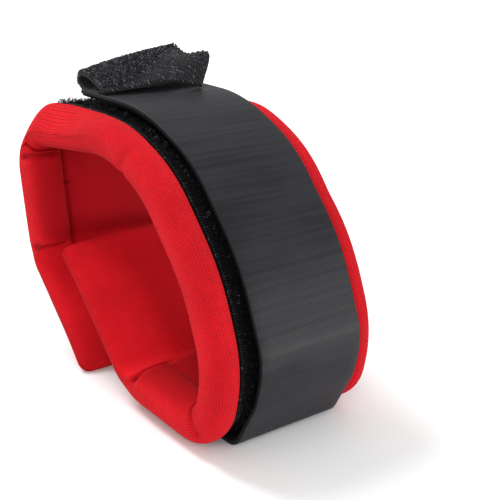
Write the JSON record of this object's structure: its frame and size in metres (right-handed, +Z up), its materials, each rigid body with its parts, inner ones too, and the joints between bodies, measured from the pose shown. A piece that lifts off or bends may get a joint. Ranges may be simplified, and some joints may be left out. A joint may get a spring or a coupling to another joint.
{
  "type": "wrist pin cushion",
  "caption": "Padded wrist band rolled into an open loop, with a smooth peel-off strap on hook and loop tape, ended by a folded pull tab.",
  "frame": {"origin": "middle of the object's footprint box, on the surface it stands on", "axes": "+Z up, Y along the wrist from the near rim to the far rim, +X from the rolled ends to the strap's wall"},
  "size_m": [0.0806, 0.047, 0.0708],
  "materials": {
    "red_knit": "brushed knit, matt with a soft sheen",
    "foam": "open-cell foam, matt",
    "loop_tape": "napped loop pile with a ribbed selvedge",
    "thread": "twisted sewing thread",
    "strap_rubber": "satin, with fine cross ribs",
    "hook_tape": "coarse hook pile",
    "webbing": "ribbed woven webbing"
  },
  "bodies": {
    "band": {"band_cover": "red_knit", "band_foam": "foam", "band_loop_tape": "loop_tape", "band_stitches_near": "thread", "band_stitches_far": "thread", "strap_root": "strap_rubber"},
    "outer_end": {"outer_end_cover": "red_knit", "outer_end_foam": "foam", "outer_end_loop_tape": "loop_tape", "outer_end_stitches_near": "thread", "outer_end_stitches_far": "thread"},
    "outer_tip": {"outer_tip_cover": "red_knit", "outer_tip_foam": "foam", "outer_tip_loop_tape": "loop_tape", "outer_tip_stitches_near": "thread", "outer_tip_stitches_far": "thread"},
    "inner_flap": {"inner_flap_cover": "red_knit", "inner_flap_foam": "foam", "inner_flap_loop_tape": "loop_tape", "inner_flap_stitches_near": "thread", "inner_flap_stitches_far": "thread"},
    "strap_main": {"strap_wall": "strap_rubber"},
    "strap_end": {"strap_top": "strap_rubber", "hook_tape": "hook_tape", "tab_base": "webbing", "tab_bar_tack": "thread"},
    "pull_tab": {"tab_webbing": "webbing", "tab_hook_face": "hook_tape"}
  },
  "joints": [
    {"name": "outer_end_opens", "type": "hinge", "parent": "band", "child": "outer_end", "pos_m": [-0.03929, 0, 0.05031], "axis": [0, 1, 0], "range_deg": [0, 95]},
    {"name": "outer_tip_straightens", "type": "hinge", "parent": "outer_end", "child": "outer_tip", "pos_m": [-0.03264, 0, 0.02022], "axis": [0, 1, 0], "range_deg": [0, 35]},
    {"name": "inner_flap_folds_in", "type": "hinge", "parent": "band", "child": "inner_flap", "pos_m": [0.01159, 0, 0.01042], "axis": [0, 1, 0], "range_deg": [0, 50]},
    {"name": "strap_peels", "type": "hinge", "parent": "band", "child": "strap_main", "pos_m": [0.03561, 0, 0], "axis": [0, 1, 0], "range_deg": [0, 68]},
    {"name": "strap_end_lifts", "type": "hinge", "parent": "strap_main", "child": "strap_end", "pos_m": [0.01064, 0, 0.05718], "axis": [0, 1, 0], "range_deg": [0, 100]},
    {"name": "pull_tab_lifts", "type": "hinge", "parent": "strap_end", "child": "pull_tab", "pos_m": [-0.03153, 0.0018, 0.06199], "axis": [-0.0771, -0.9912, -0.1076], "range_deg": [0, 105]}
  ]
}
